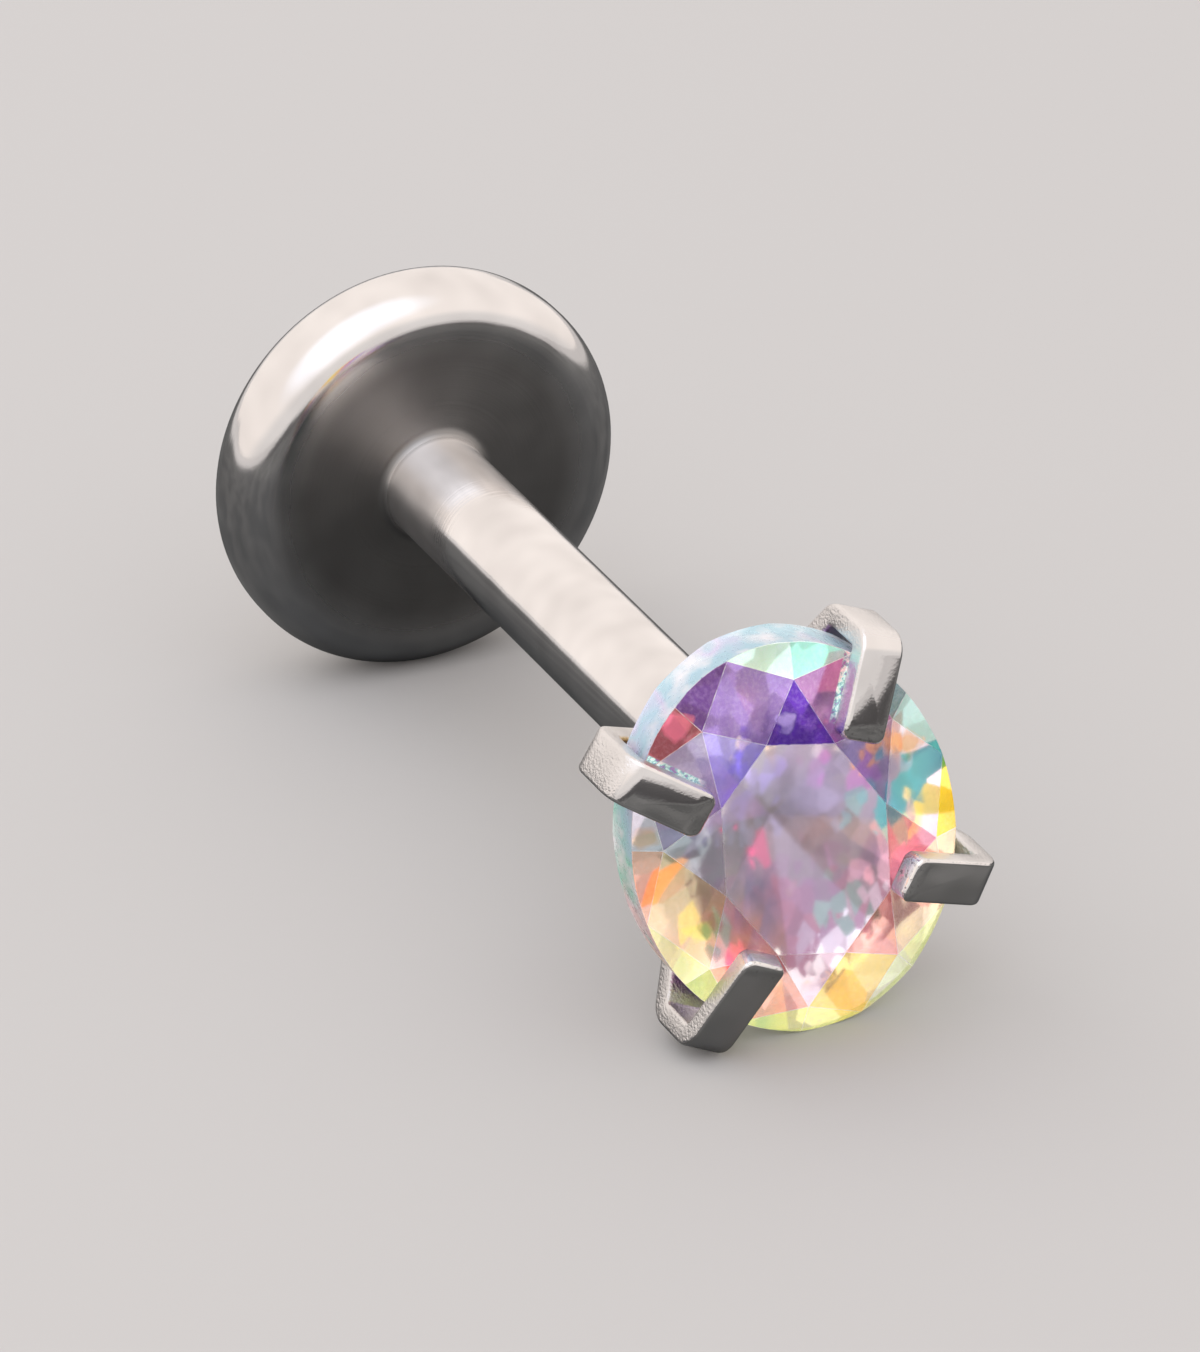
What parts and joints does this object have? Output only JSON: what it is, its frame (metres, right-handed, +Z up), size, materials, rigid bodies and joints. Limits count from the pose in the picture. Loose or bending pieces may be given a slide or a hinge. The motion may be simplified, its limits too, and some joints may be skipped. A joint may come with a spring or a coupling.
{
  "type": "flat back stud",
  "caption": "Flat back stud for a piercing: polished disc and straight post, with a claw-set oval stone on a push-in head, lying on its side.",
  "frame": {"origin": "on the table, under the middle of the whole stud's box as it lies on its side", "axes": "+X along the post from the disc to the stone, +Z up from the table, +Y across"},
  "size_m": [0.0088, 0.0038, 0.0039],
  "materials": {
    "polished_back": "mirror-polished surgical steel, turned",
    "polished_claws": "hand-polished steel strip with fine lengthwise polishing lines and satin cut sides",
    "rainbow_stone": "faceted clear stone with a rainbow interference coating"
  },
  "bodies": {
    "root": {"flat_back_post": "polished_back", "claw_setting": "polished_claws", "oval_stone": "rainbow_stone"}
  },
  "joints": []
}
